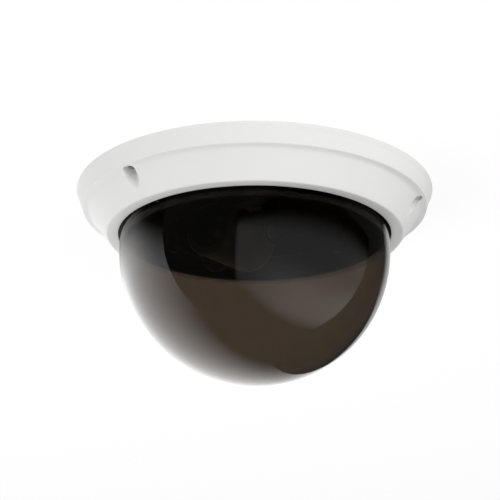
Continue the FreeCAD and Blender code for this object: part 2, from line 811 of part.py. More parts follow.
def header(node, length, place):
    """An upright plug header: a box with an open cavity and a row of contact pins."""
    shell = box(length, "header_width", "header_height", place)
    cavity = box(f"{length} - 2 * header_wall", "header_width - 2 * header_wall", "header_height",
                 place * Placement(Vector(0, 0, SIZE["header_floor"]), Rotation()))
    pitch = SIZE["pin_pitch"]
    count = int((SIZE[length] - 2 * SIZE["header_wall"]) / pitch)
    root = SIZE["header_floor"] / 2
    pins = [box("pin_side", "pin_side", "pin_length", place * Placement(
        Vector((i - (count - 1) / 2) * pitch, 0, root), Rotation())) for i in range(count)]
    as_node(node, fuse([cut(shell, [cavity])] + pins))


def make_processor():
    """The main chip and the finned heat sink on it."""
    chip = under_board(71.5, 66)
    as_node("processor", box("processor_side", "processor_side", "processor_height", chip))
    top = under_board(71.5, 66, SIZE["processor_height"])
    plate = box("sink_side", "sink_side", "sink_plate", top)
    thickness = SIZE["sink_plate"]
    pitch = (SIZE["sink_side"] - thickness) / (FIN_COUNT - 1)
    fins = [box(thickness, "sink_side", "fin_height", top * Placement(
        Vector((i - (FIN_COUNT - 1) / 2) * pitch, 0, thickness / 2), Rotation()))
        for i in range(FIN_COUNT)]
    as_node("heat_sink", fuse([plate] + fins))


def make_card_slot():
    """A sheet-metal shell with a mouth towards the board's edge."""
    place = under_board(69.2, 47)
    wall = SIZE["card_slot_wall"]
    shell = box("card_slot_length", "card_slot_width", "card_slot_height", place)
    mouth = box("card_slot_length - 1", "card_slot_width - 2 * card_slot_wall", "card_slot_height - 0.6",
                place * Placement(Vector(0, 0.8, wall), Rotation()))
    as_node("card_slot", cut(shell, [mouth]))


def make_reset_button():
    """A push switch and the button that travels in it."""
    place = under_board(74, 92)
    above = Placement(Vector(0, 0, SIZE["button_start"]), Rotation())
    room = Placement(Vector(0, 0, SIZE["button_start"] - 0.6), Rotation())
    bore = cylinder("button_bore_radius", "switch_height", place * room)
    as_node("reset_switch", cut(box("switch_side", "switch_side", "switch_height", place), [bore]))
    as_node("reset_button", cylinder("button_radius", "button_length", place * above))


def make_electronics():
    make_main_board()
    header("network_header", "network_header_length", under_board(77, 52))
    header("power_header", "power_header_length", under_board(77, 84))
    make_processor()
    make_card_slot()
    lamp = under_board(68, 83)
    as_node("status_led", fuse([cylinder("lamp_radius", "lamp_height", lamp),
                                cylinder("lamp_collar_radius", "lamp_collar_height", lamp)]))
    make_reset_button()


# ---------------------------------------------------------------- pan drive and carrier


def make_pan_motor():
    """A flat stepper under the base plate, its shaft and pinion hanging beside the pan gear."""
    upside_down = Placement(Vector(), Rotation(Vector(1, 0, 0), 180))
    top = pan_motor_place(-SIZE["plate_thickness"]) * upside_down
    can = cylinder("pan_motor_radius", "pan_motor_bottom_depth - plate_thickness", top)
    ears = box("2 * pan_ear_reach + pan_ear_width", "pan_ear_width", "ear_thickness", top)
    collar = cylinder("motor_collar_radius", "pan_motor_bottom_depth - plate_thickness + 0.6", top)
    bore = cylinder("motor_bore_radius", 12, top * Placement(Vector(0, 0, 1.3), Rotation()))
    holes = [cylinder(f"small_shank_radius + {SCREW_CLEARANCE}", 2,
                      top * Placement(Vector(x, 0, -0.5), Rotation()))
             for x in (-SIZE["pan_ear_reach"], SIZE["pan_ear_reach"])]
    as_node("pan_motor", cut(fuse([can, ears, collar]), [bore] + holes))
    screws("pan_motor_screws", "small", "ear_thickness + 1.6", [
        pan_motor_place(-SIZE["plate_thickness"] - SIZE["ear_thickness"], across)
        for across in (-SIZE["pan_ear_reach"], SIZE["pan_ear_reach"])])
    shaft_length = SIZE["carrier_shoulder_depth"] - SIZE["plate_thickness"] - 1.5
    as_node("pan_motor_shaft", cylinder("motor_shaft_radius", shaft_length, top * Placement(
        Vector(0, 0, 1.6), Rotation())))


def make_pan_gears():
    """The carrier's gear and the motor's pinion, meshing on the line between their axes."""
    width = SIZE["carrier_shoulder_depth"] - SIZE["pan_gear_top_depth"]
    bottom = -SIZE["carrier_shoulder_depth"]
    gear("pan_gear", SIZE["pan_gear_teeth"], SIZE["carrier_neck_radius"], width,
         Placement(Vector(0, 0, bottom), Rotation()))
    direction = SIZE["pan_motor_azimuth"] - 90
    turn = mesh_turn(SIZE["pan_gear_teeth"], SIZE["pan_pinion_teeth"], direction)
    axis = pan_motor_place(bottom).Base
    gear("pan_pinion", SIZE["pan_pinion_teeth"], SIZE["motor_shaft_radius"], width - 0.4,
         Placement(axis + Vector(0, 0, 0.2), Rotation(UP, turn)))


def make_pan_carrier():
    """The inverted black cup that carries the yoke."""
    body = turned_part("pan_carrier", (
        ("carrier_hole_radius", "-carrier_top_depth"),
        ("carrier_neck_radius", "-carrier_top_depth"),
        ("carrier_neck_radius", "-carrier_shoulder_depth"),
        ("carrier_radius", "-carrier_shoulder_depth"),
        ("carrier_radius", "-carrier_bottom_depth"),
        ("carrier_inner_radius", "-carrier_bottom_depth"),
        ("carrier_inner_radius", "-carrier_roof_depth"),
        ("carrier_hole_radius", "-carrier_roof_depth"),
    ), place=PAN_PLACE)
    holes = sketch_on(body, "XY_Plane")
    for across, along in YOKE_SCREW_PLACES + BRACKET_SCREW_PLACES:
        draw_circle(holes, across, along, "small_shank_radius")
    pocket(body, holes, "carrier_roof_depth + 1")


def roof_screw_places(places, under):
    return [PAN_PLACE * Placement(Vector(x, y, under), Rotation()) for x, y in places]


def make_yoke():
    """A bent bracket under the carrier's roof: a plate and two round-ended arms with bushes."""
    roof = -SIZE["carrier_roof_depth"]
    forward = -SIZE["tilt_axis_forward"]
    arm_length = SIZE["tilt_axis_depth"] - SIZE["carrier_roof_depth"]
    downwards = Rotation(Vector(0, 1, 0), 180)
    sideways = Rotation(Vector(0, 1, 0), 90)
    pieces = [box("2 * yoke_gap + 2 * yoke_thickness", "2 * yoke_half_width", "yoke_plate_thickness",
                  PAN_PLACE * Placement(Vector(0, forward, roof), downwards))]
    bores = []
    bushes = []
    for side in (-1, 1):
        middle = side * (SIZE["yoke_gap"] + SIZE["yoke_thickness"] / 2)
        pieces.append(box("yoke_thickness", "2 * yoke_half_width", arm_length,
                          PAN_PLACE * Placement(Vector(middle, forward, roof), downwards)))
        start = Vector(middle - SIZE["yoke_thickness"] / 2, forward, -SIZE["tilt_axis_depth"])
        axis = PAN_PLACE * Placement(start, sideways)
        pieces.append(cylinder("yoke_half_width", "yoke_thickness", axis))
        bores.append(cylinder("bush_radius", "yoke_thickness", axis))
        bushes.append(cut(cylinder("bush_radius", "yoke_thickness", axis),
                          [cylinder("bush_bore_radius", "yoke_thickness", axis)]))
    for x, y in YOKE_SCREW_PLACES:
        bores.append(cylinder(f"small_shank_radius + {SCREW_CLEARANCE}", 4,
                              PAN_PLACE * Placement(Vector(x, y, roof - 2), Rotation())))
    as_node("camera_yoke", cut(fuse(pieces), bores))
    group("tilt_bushes", bushes)
    under_plate = roof - SIZE["yoke_plate_thickness"]
    screws("yoke_screws", "small", "yoke_plate_thickness + 1.4",
           roof_screw_places(YOKE_SCREW_PLACES, under_plate))


# ---------------------------------------------------------------- tilt drive


def tilt_pinion_centre():
    """The pinion's axis in the pan group: behind and above the tilt axis."""
    teeth = SIZE["tilt_gear_teeth"] + SIZE["tilt_pinion_teeth"]
    distance = SIZE["gear_module"] * teeth / 2 + SIZE["gear_backlash"]
    rise = math.radians(SIZE["tilt_pinion_elevation"])
    return Vector(0, distance * math.cos(rise) - SIZE["tilt_axis_forward"],
                  distance * math.sin(rise) - SIZE["tilt_axis_depth"])


def tilt_motor_place(x, shift=0.0):
    """On the tilt motor's axis, its Z pointing outwards along the pan group's -X."""
    centre = tilt_pinion_centre()
    centre.x = x
    centre.y += shift
    return PAN_PLACE * Placement(centre, Rotation(Vector(0, 1, 0), -90))


def make_tilt_drive():
    ear_shifts = (-SIZE["tilt_ear_reach"], SIZE["tilt_ear_reach"])
    bracket_x = -SIZE["bracket_offset"]
    motor_x = bracket_x - SIZE["bracket_thickness"]
    roof = -SIZE["carrier_roof_depth"]
    centre = tilt_pinion_centre()
    downwards = Rotation(Vector(0, 1, 0), 180)
    plate_depth = -centre.z + SIZE["tilt_motor_radius"] + 1 + roof
    plate = box("bracket_thickness", "2 * tilt_ear_reach + tilt_ear_width", plate_depth,
                PAN_PLACE * Placement(
                    Vector(bracket_x - SIZE["bracket_thickness"] / 2, centre.y, roof), downwards))
    flange_middle = bracket_x - SIZE["bracket_flange_length"] / 2
    flange = box("bracket_flange_length", "bracket_flange_width", "bracket_thickness",
                 PAN_PLACE * Placement(Vector(flange_middle, centre.y, roof), downwards))
    shaft_hole = cylinder(f"motor_collar_radius + {FACE_GAP}", 3, tilt_motor_place(bracket_x + 1))
    ear_holes = [cylinder("small_shank_radius", 3, tilt_motor_place(bracket_x + 1, shift))
                 for shift in ear_shifts]
    flange_holes = [cylinder(f"small_shank_radius + {SCREW_CLEARANCE}", 4,
                             PAN_PLACE * Placement(Vector(x, y, roof - 2), Rotation()))
                    for x, y in BRACKET_SCREW_PLACES]
    as_node("motor_bracket", cut(fuse([plate, flange]), [shaft_hole] + ear_holes + flange_holes))
    screws("bracket_screws", "small", "bracket_thickness + 1.4",
           roof_screw_places(BRACKET_SCREW_PLACES, roof - SIZE["bracket_thickness"]))
    face = tilt_motor_place(motor_x)
    can = cylinder("tilt_motor_radius", "tilt_motor_length", face)
    ears = box("tilt_ear_width", "2 * tilt_ear_reach + tilt_ear_width", "ear_thickness", face)
    collar = cylinder("motor_collar_radius", 0.8, tilt_motor_place(bracket_x - 0.2))
    bore = cylinder("motor_bore_radius", 9, tilt_motor_place(bracket_x + 0.5))
    motor_holes = [cylinder(f"small_shank_radius + {SCREW_CLEARANCE}", 3,
                            tilt_motor_place(motor_x + 1, shift))
                   for shift in ear_shifts]
    as_node("tilt_motor", cut(fuse([can, ears, collar]), [bore] + motor_holes))
    inwards = Placement(Vector(), Rotation(Vector(1, 0, 0), 180))
    screws("tilt_motor_screws", "small", "ear_thickness + bracket_thickness", [
        tilt_motor_place(motor_x - SIZE["ear_thickness"], shift) * inwards
        for shift in ear_shifts])
    gear_x = -SIZE["yoke_gap"] - SIZE["yoke_thickness"] - 0.6
    as_node("tilt_motor_shaft", cylinder("motor_shaft_radius", 11, tilt_motor_place(gear_x + 0.3)))
    across = Rotation(Vector(0, 1, 0), -90)
    gear("tilt_gear", SIZE["tilt_gear_teeth"], SIZE["pin_radius"], SIZE["tilt_gear_width"],
         TILT_PLACE * Placement(Vector(gear_x, 0, 0), across))
    direction = 90 - SIZE["tilt_pinion_elevation"]
    turn = mesh_turn(SIZE["tilt_gear_teeth"], SIZE["tilt_pinion_teeth"], direction)
    pinion_place = tilt_motor_place(gear_x - FACE_GAP) * Placement(Vector(), Rotation(UP, turn))
    gear("tilt_pinion", SIZE["tilt_pinion_teeth"], SIZE["motor_shaft_radius"],
         SIZE["tilt_gear_width"] - 2 * FACE_GAP, pinion_place)


# ---------------------------------------------------------------- camera module


def make_front_shell():
    """The tube round the lens, open at the back, with a bezel in front and bores for the pivots."""
    body = turned_part("module_front_shell", (
        ("window_radius", "-module_front"),
        ("module_radius", "-module_front"),
        ("module_radius", "module_split"),
        ("module_radius - module_wall", "module_split"),
        ("module_radius - module_wall", "-module_front + module_wall"),
        ("window_radius", "-module_front + module_wall"),
    ), "XY_Plane", TILT_PLACE)
    round_edges(body, body.Tip, "lip_fillet", ((SIZE["module_radius"], -SIZE["module_front"]),))
    bores = sketch_on(body, "YZ_Plane", "-module_radius - 1")
    draw_circle(bores, "0", "0", "pin_radius")
    pocket(body, bores, "2 * module_radius + 2", along_normal=True)


def make_rear_shell():
    body = turned_part("module_rear_shell", (
        ("module_radius", "module_split"),
        ("module_radius", "module_back"),
        ("0", "module_back"),
        ("0", "module_back - module_wall"),
        ("module_radius - module_wall", "module_back - module_wall"),
        ("module_radius - module_wall", "module_split"),
    ), "XY_Plane", TILT_PLACE)
    outer = round_edges(body, body.Tip, "module_back - module_split - 1",
                        ((SIZE["module_radius"], SIZE["module_back"]),))
    inner_radius = SIZE["module_radius"] - SIZE["module_wall"]
    round_edges(body, outer, "module_back - module_split - 3",
                ((inner_radius, SIZE["module_back"] - SIZE["module_wall"]),))


def make_camera_module():
    make_front_shell()
    make_rear_shell()
    sideways = Rotation(Vector(0, 1, 0), 90)
    arm_end = SIZE["yoke_gap"] + SIZE["yoke_thickness"]
    inner_end = SIZE["module_radius"] - 3.5
    gear_end = arm_end + SIZE["tilt_gear_width"] + 1
    group("tilt_pins", [
        cylinder("pin_radius", arm_end + 0.5 - inner_end,
                 TILT_PLACE * Placement(Vector(inner_end, 0, 0), sideways)),
        cylinder("pin_radius", gear_end - inner_end,
                 TILT_PLACE * Placement(Vector(-gear_end, 0, 0), sideways))])
    glass_back = "-module_front + module_wall + window_thickness"
    turned_part("front_window", (
        ("0", "-module_front + module_wall"),
        ("module_radius - module_wall", "-module_front + module_wall"),
        ("module_radius - module_wall", glass_back),
        ("0", glass_back),
    ), "XY_Plane", TILT_PLACE)
    mount = turned_part("lens_mount", (
        ("lens_thread_radius", "-mount_disc_front"),
        ("module_radius - module_wall", "-mount_disc_front"),
        ("module_radius - module_wall", "-mount_disc_back"),
        ("lens_thread_radius", "-mount_disc_back"),
    ), "XY_Plane", TILT_PLACE)
    posts = sketch_on(mount, "XZ_Plane", "sensor_board_front + sensor_post_length")
    for across, along in SENSOR_SCREW_PLACES:
        draw_circle(posts, across, along, "sensor_post_radius")
    pad(mount, posts, "sensor_post_length", backwards=True)
    threads = sketch_on(mount, "XZ_Plane", "sensor_board_front")
    for across, along in SENSOR_SCREW_PLACES:
        draw_circle(threads, across, along, "small_shank_radius")
    pocket(mount, threads, 3, along_normal=True)
    turned_part("lens_barrel", (
        ("lens_stop_radius", "-lens_back"),
        ("lens_thread_radius", "-lens_back"),
        ("lens_thread_radius", "-lens_shoulder"),
        ("lens_radius", "-lens_shoulder"),
        ("lens_radius", "-lens_front"),
        ("lens_element_radius", "-lens_front"),
        ("lens_element_radius", "-lens_front + 4"),
        ("lens_stop_radius", "-lens_front + 6"),
    ), "XY_Plane", TILT_PLACE)
    make_front_lens()
    make_focus_ring()
    make_sensor_board()


def make_sensor_board():
    """The square board behind the lens, its sensor facing forwards, and the screws that hold it."""
    back = Rotation(Vector(1, 0, 0), -90)
    front = -SIZE["sensor_board_front"]
    rear = front + SIZE["sensor_board_thickness"]
    board = box("sensor_board_side", "sensor_board_side", "sensor_board_thickness",
                TILT_PLACE * Placement(Vector(0, front, 0), back))
    holes = [cylinder(f"small_shank_radius + {SCREW_CLEARANCE}", 3, TILT_PLACE * Placement(
        Vector(x, front - 1, z), back)) for x, z in SENSOR_SCREW_PLACES]
    as_node("sensor_board", cut(board, holes))
    as_node("image_sensor", box("sensor_length", "sensor_width", "sensor_height", TILT_PLACE * Placement(
        Vector(0, front - SIZE["sensor_height"], 0), back)))
    forwards = Rotation(Vector(1, 0, 0), 90)
    screws("sensor_screws", "small", "sensor_board_thickness + sensor_post_length - 0.1", [
        TILT_PLACE * Placement(Vector(x, rear, z), forwards) for x, z in SENSOR_SCREW_PLACES])


def make_front_lens():
    """A glass element with a bulged front face, seated in the barrel's mouth."""
    front = -SIZE["lens_front"] + 0.4
    radius = 2 * SIZE["lens_element_radius"]
    rod = cylinder("lens_element_radius", "lens_element_length", TILT_PLACE * Placement(
        Vector(0, front, 0), Rotation(Vector(1, 0, 0), -90)))
    ball = doc.addObject("Part::Sphere", "ball")
    ball.setExpression("Radius", bound("2 * lens_element_radius"))
    ball.Placement = TILT_PLACE * Placement(Vector(0, front + radius, 0), Rotation())
    lens = doc.addObject("Part::Common", "front_lens")
    lens.Base = rod
    lens.Tool = ball
    as_node("front_lens", lens)


def make_focus_ring():
    """A grip ring round the lens barrel, with grooves cut along it."""
    back = Rotation(Vector(1, 0, 0), -90)
    start = TILT_PLACE * Placement(Vector(0, -SIZE["focus_ring_start"], 0), back)
    ring = cylinder("focus_ring_radius", "focus_ring_width", start)
    bore = cylinder("focus_ring_bore_radius", "focus_ring_width", start)
    rim = Placement(Vector(SIZE["focus_ring_radius"] + FACE_GAP, 0, 0), Rotation())
    grooves = []
    for i in range(FOCUS_GROOVE_COUNT):
        turn = Placement(Vector(), Rotation(UP, 360 / FOCUS_GROOVE_COUNT * i))
        grooves.append(cylinder("focus_groove_radius", "focus_ring_width", start * turn * rim))
    as_node("focus_ring", cut(ring, [bore] + grooves))


# ---------------------------------------------------------------- assembly, tests and files


def build():
    fill_sheet()
    make_cover_group()
    make_base_plate()
    make_gimbal_pillars()
    make_cable_grommet()
    make_gimbal_ring()
    make_liner()
    make_electronics()
    make_pan_motor()
    make_pan_gears()
    make_pan_carrier()
    make_yoke()
    make_tilt_drive()
    make_camera_module()
    doc.recompute()


def check():
    for item in doc.Objects:
        if "Invalid" in item.State or "Error" in item.State:
            raise RuntimeError(f"{item.Name} ({item.Label}) failed: {item.State}")
    for node in nodes:
        shape = node.Shape
        if shape.isNull() or not shape.isValid() or not shape.Solids:
            raise RuntimeError(f"{node.Label} has no valid solid")


def write():
    os.makedirs("parts", exist_ok=True)
    for node in nodes:
        node.Shape.exportStep(f"parts/{node.Label}.step")
    print(len(nodes), "nodes written")


build()
check()
write()
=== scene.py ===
"""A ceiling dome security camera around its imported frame: looks, stage, lights and camera.

Metres, in the frame's own axes: the origin is the centre of the ceiling face, +Z goes up into the
ceiling, and the front is -Y. Azimuths are measured from the front, positive towards +X.
"""

import json
import math

import bmesh
import bpy
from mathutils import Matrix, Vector


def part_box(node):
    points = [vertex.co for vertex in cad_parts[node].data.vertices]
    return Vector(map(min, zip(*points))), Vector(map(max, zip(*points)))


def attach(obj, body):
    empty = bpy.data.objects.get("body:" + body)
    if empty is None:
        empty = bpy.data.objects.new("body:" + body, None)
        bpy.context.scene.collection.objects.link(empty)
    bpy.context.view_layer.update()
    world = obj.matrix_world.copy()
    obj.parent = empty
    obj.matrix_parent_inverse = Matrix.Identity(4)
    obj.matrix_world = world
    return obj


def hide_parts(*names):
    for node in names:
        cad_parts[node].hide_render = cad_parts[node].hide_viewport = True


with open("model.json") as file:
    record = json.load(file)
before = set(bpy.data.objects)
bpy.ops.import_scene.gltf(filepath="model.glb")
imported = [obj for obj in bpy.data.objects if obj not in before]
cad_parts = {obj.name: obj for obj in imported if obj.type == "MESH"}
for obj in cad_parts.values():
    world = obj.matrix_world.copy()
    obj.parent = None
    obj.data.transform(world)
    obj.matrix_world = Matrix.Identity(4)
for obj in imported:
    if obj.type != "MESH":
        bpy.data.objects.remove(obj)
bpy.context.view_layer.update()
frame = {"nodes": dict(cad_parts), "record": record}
scene = bpy.context.scene

MM = 0.001
TURN_SEGMENTS = 288
TOOL_SEGMENTS = 64
ON_AXIS = 0.001 * MM

# ---------------------------------------------------------------- the cover, in millimetres

# its section as (radius, height) with the radius that each corner is rounded by
COVER_SECTION = (
    ((100.0, 0.0), 0.6),
    ((98.3, -3.4), 1.2),
    ((96.1, -10.5), 0.6),
    ((92.45, -11.0), 3.2),
    ((82.37, -25.2), 1.5),
    ((75.9, -25.2), 0.35),
    ((75.9, -21.0), 0),
    ((81.3, -21.0), 0),
    ((88.45, -11.0), 0),
    ((90.55, -8.0), 0),
    ((94.2, -8.0), 0),
    ((96.0, -3.4), 0),
    ((96.0, 0.0), 0),
)
# the section of the material behind each screw pocket, and half its width
BOSS_SECTION = ((84.6, -4.0), (95.9, -4.0), (95.9, -9.0), (93.6, -9.5), (84.6, -20.5))
BOSS_HALF_WIDTH = 7.0
POCKET_AZIMUTHS = (-45, 75, 195)
POCKET_CIRCLE = 90.4
POCKET_RADIUS = 4.2
POCKET_FLOOR_HEIGHT = -7.0
SCREW_HOLE_RADIUS = 2.2
MOUTH_RADIUS = 0.4

# ---------------------------------------------------------------- the bubble

bubble_low = Vector(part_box("dome_bubble")[0])
BUBBLE_RADIUS = 75 * MM
BUBBLE_WALL = 2 * MM
BUBBLE_CENTRE_Z = bubble_low.z + BUBBLE_RADIUS
FLANGE_RADIUS = 80.8 * MM
FLANGE_BOTTOM_Z = -20.2 * MM
FLANGE_TOP_Z = -18.2 * MM
FLANGE_ROUNDING = 0.3 * MM
BOWL_STEPS = 72

# ---------------------------------------------------------------- studio and camera

CEILING_GLOW = 0.72
CEILING_PAINT = 0.35
CEILING_HALF_WIDTH = 3.0
CEILING_GAP = 0.1 * MM
FLOOR_GLOW = 0.35
FLOOR_HALF_WIDTH = 40.0
FLOOR_Z = -1.6
HORIZON_GLOW = 0.6
NADIR_GLOW = 0.95
MIRRORED_GLOW = 0.045
# a ray that has crossed more surfaces than one wall of the bubble has is on its way out behind it
SURFACES_OF_ONE_WALL = 2

# each lamp's azimuth and elevation in degrees, and watts
FRONT_LAMP = (30, -8, 8.1)
LEFT_LAMP = (-95, -50, 4.2)
LAMP_SIZE = 0.7
LAMP_DISTANCE = 1.5

# each panel's corners as (azimuth, elevation), going round from the top left
WINDOW_CORNERS = ((-13, 13), (-22, -45), (107, -56), (106, 12))
SIDE_CORNERS = ((-78, 26), (-78, -60), (-194, -60), (-194, 26))
EDGE_CORNERS = ((166, 30), (166, -2), (138, 6), (128, 30))
PANEL_DISTANCE = 1.4
PANEL_STEPS = 32

CAMERA_DISTANCE = 0.78
CAMERA_DEPRESSION = 22.2
AIM_AZIMUTH = 180.207
AIM_ELEVATION = 19.965
SENSOR_WIDTH = 36
FOCAL_LENGTH = 99.4


def around(radius, azimuth, z):
    """A point on a circle round the dome's axis."""
    turn = math.radians(azimuth)
    return Vector((radius * math.sin(turn), -radius * math.cos(turn), z))


def direction(azimuth, elevation):
    """The unit vector that points along an azimuth and an elevation."""
    rise = math.radians(elevation)
    flat = around(math.cos(rise), azimuth, 0)
    return Vector((flat.x, flat.y, math.sin(rise)))


def linked(name, data):
    """A new object in the scene."""
    item = bpy.data.objects.new(name, data)
    scene.collection.objects.link(item)
    return item


def as_object(mesh, name):
    """Turn a bmesh into an object and free it."""
    data = bpy.data.meshes.new(name)
    mesh.to_mesh(data)
    mesh.free()
    return linked(name, data)


# ---------------------------------------------------------------- materials


class Nodes:
    """The node tree of a material or a world, with short ways to add and link nodes."""

    def __init__(self, name, world=False):
        self.material = (bpy.data.worlds if world else bpy.data.materials).new(name)
        self.material.use_nodes = True
        self.tree = self.material.node_tree
        self.tree.nodes.clear()
        self.output = self.add("ShaderNodeOutputWorld" if world else "ShaderNodeOutputMaterial")

    def add(self, kind, **settings):
        node = self.tree.nodes.new(kind)
        for key, value in settings.items():
            setattr(node, key, value)
        return node

    def link(self, source, target):
        self.tree.links.new(source, target)

    def shader(self, **sockets):
        """A Principled shader with its constants set on its own sockets, linked to the output."""
        shader = self.add("ShaderNodeBsdfPrincipled")
        for key, value in sockets.items():
            shader.inputs[key.replace("_", " ")].default_value = value
        self.link(shader.outputs[0], self.output.inputs["Surface"])
        return shader

    def coordinates(self):
        """A socket with the place in the object's own axes."""
        return self.add("ShaderNodeTexCoord").outputs["Object"]

    def noise(self, scale, detail=2.0, roughness=0.5, vector=None):
        """A socket with cloudy noise, in the object's own axes unless a vector is given."""
        node = self.add("ShaderNodeTexNoise")
        node.inputs["Scale"].default_value = scale
        node.inputs["Detail"].default_value = detail
        node.inputs["Roughness"].default_value = roughness
        self.link(vector or self.coordinates(), node.inputs["Vector"])
        return node.outputs["Fac"]

    def ramp(self, factor, low, high):
        """A change from one colour to another over the middle of a factor's range."""
        node = self.add("ShaderNodeValToRGB")
        first, last = node.color_ramp.elements
        first.position = 0.3
        first.color = (*low, 1)
        last.position = 0.7
        last.color = (*high, 1)
        self.link(factor, node.inputs["Fac"])
        return node.outputs["Color"]

    def span(self, factor, low, high):
        """A factor from 0 to 1 stretched to a range of values."""
        node = self.add("ShaderNodeMapRange")
        node.inputs["To Min"].default_value = low
        node.inputs["To Max"].default_value = high
        self.link(factor, node.inputs["Value"])
        return node.outputs["Result"]

    def bump(self, shader, height, strength, distance):
        """Relief on a shader; distance is its depth in metres."""
        node = self.add("ShaderNodeBump")
        node.inputs["Strength"].default_value = strength
        node.inputs["Distance"].default_value = distance
        self.link(height, node.inputs["Height"])
        self.link(node.outputs["Normal"], shader.inputs["Normal"])


def scaled(colour, factor):
    return tuple(channel * factor for channel in colour)


def grained_plastic(name, colour, roughness, grain_scale, grain_depth, tint=0.03, specular=0.5):
    """Moulded plastic: a fine spark-eroded grain, a slow change of tone and uneven gloss.

    grain_depth is in millimetres, and tint is how far the tone strays from the colour.
    """
    nodes = Nodes(name)
    shader = nodes.shader(IOR=1.5, Specular_IOR_Level=specular)
    slow = nodes.noise(18, 3)
    tones = nodes.ramp(slow, scaled(colour, 1 - tint), scaled(colour, 1 + tint))
    nodes.link(tones, shader.inputs["Base Color"])
    fine = nodes.noise(grain_scale, 4, 0.65)
    nodes.link(nodes.span(fine, roughness - 0.06, roughness + 0.06), shader.inputs["Roughness"])
    nodes.bump(shader, fine, 0.5, grain_depth * MM)
    return nodes.material


def metal(name, colour, roughness, scale, stretch=(1, 1, 1), depth=0.03, bare=1.0):
    """Metal with fine marks.

    stretch squeezes the marks along an axis, depth is in millimetres, and bare is below 1 for a
    blasted and sealed surface.
    """
    nodes = Nodes(name)
    shader = nodes.shader(Metallic=bare)
    mapping = nodes.add("ShaderNodeMapping")
    mapping.inputs["Scale"].default_value = stretch
    nodes.link(nodes.coordinates(), mapping.inputs["Vector"])
    marks = nodes.noise(scale, 5, 0.7, mapping.outputs["Vector"])
    slow = nodes.noise(40, 2)
    nodes.link(nodes.ramp(slow, scaled(colour, 0.82), colour), shader.inputs["Base Color"])
    nodes.link(nodes.span(marks, roughness - 0.08, roughness + 0.1), shader.inputs["Roughness"])
    nodes.bump(shader, marks, 0.4, depth * MM)
    return nodes.material


def rubber(name, colour):
    """Dull moulded rubber with a slightly cloudy tone."""
    nodes = Nodes(name)
    shader = nodes.shader(IOR=1.45, Specular_IOR_Level=0.3)
    cloudy = nodes.noise(120, 3)
    lighter = tuple(channel * 1.6 + 0.004 for channel in colour)
    nodes.link(nodes.ramp(cloudy, colour, lighter), shader.inputs["Base Color"])
    fine = nodes.noise(2600, 3)
    nodes.link(nodes.span(fine, 0.68, 0.85), shader.inputs["Roughness"])
    nodes.bump(shader, fine, 0.3, 0.03 * MM)
    return nodes.material


def circuit_board(name):
    """Green solder mask over a faint grid of tracks and plated pads."""
    nodes = Nodes(name)
    shader = nodes.shader(IOR=1.5, Coat_Weight=0.3, Coat_Roughness=0.15)
    place = nodes.coordinates()
    bricks = nodes.add("ShaderNodeTexBrick")
    bricks.inputs["Scale"].default_value = 420
    bricks.inputs["Mortar Size"].default_value = 0.035
    bricks.inputs["Color1"].default_value = (0.010, 0.085, 0.036, 1)
    bricks.inputs["Color2"].default_value = (0.013, 0.105, 0.045, 1)
    bricks.inputs["Mortar"].default_value = (0.035, 0.20, 0.085, 1)
    nodes.link(place, bricks.inputs["Vector"])
    dots = nodes.add("ShaderNodeTexVoronoi")
    dots.inputs["Scale"].default_value = 330
    nodes.link(place, dots.inputs["Vector"])
    pads = nodes.add("ShaderNodeMath", operation="LESS_THAN")
    pads.inputs[1].default_value = 0.16
    nodes.link(dots.outputs["Distance"], pads.inputs[0])
    mix = nodes.add("ShaderNodeMix", data_type="RGBA")
    mix.inputs["B"].default_value = (0.62, 0.55, 0.36, 1)
    nodes.link(pads.outputs[0], mix.inputs["Factor"])
    nodes.link(bricks.outputs["Color"], mix.inputs["A"])
    nodes.link(mix.outputs["Result"], shader.inputs["Base Color"])
    nodes.link(nodes.span(pads.outputs[0], 0.35, 0.22), shader.inputs["Roughness"])
    nodes.bump(shader, bricks.outputs["Fac"], 0.2, 0.03 * MM)
    return nodes.material


def clear_glass(name, colour, coat):
    """Polished glass with a faint smear and a thin anti-reflection coat."""
    nodes = Nodes(name)
    shader = nodes.shader(Transmission_Weight=1.0, IOR=1.52, Coat_Weight=coat, Coat_Roughness=0.02)
    smear = nodes.noise(60, 3)
    nodes.link(nodes.ramp(smear, scaled(colour, 0.97), colour), shader.inputs["Base Color"])
    nodes.link(nodes.span(smear, 0.0, 0.03), shader.inputs["Roughness"])
    return nodes.material


def smoked_bubble():
    """Polished smoked polycarbonate: a brown tint, with hardly visible unevenness of the moulding."""
    nodes = Nodes("smoked_polycarbonate")
    shader = nodes.shader(Transmission_Weight=1.0, IOR=1.58)
    tone = nodes.noise(9, 2)
    browns = nodes.ramp(tone, (0.258, 0.217, 0.176), (0.274, 0.231, 0.189))
    nodes.link(browns, shader.inputs["Base Color"])
    haze = nodes.noise(35, 2)
    nodes.link(nodes.span(haze, 0.0, 0.012), shader.inputs["Roughness"])
    return nodes.material


def lamp_plastic(name, colour):
    """The cloudy coloured plastic of an indicator lamp."""
    nodes = Nodes(name)
    shader = nodes.shader(Transmission_Weight=0.6, IOR=1.5, Subsurface_Weight=0.2)
    cloud = nodes.noise(300, 2)
    nodes.link(nodes.ramp(cloud, scaled(colour, 0.8), colour), shader.inputs["Base Color"])
    nodes.link(nodes.span(cloud, 0.25, 0.4), shader.inputs["Roughness"])
    return nodes.material


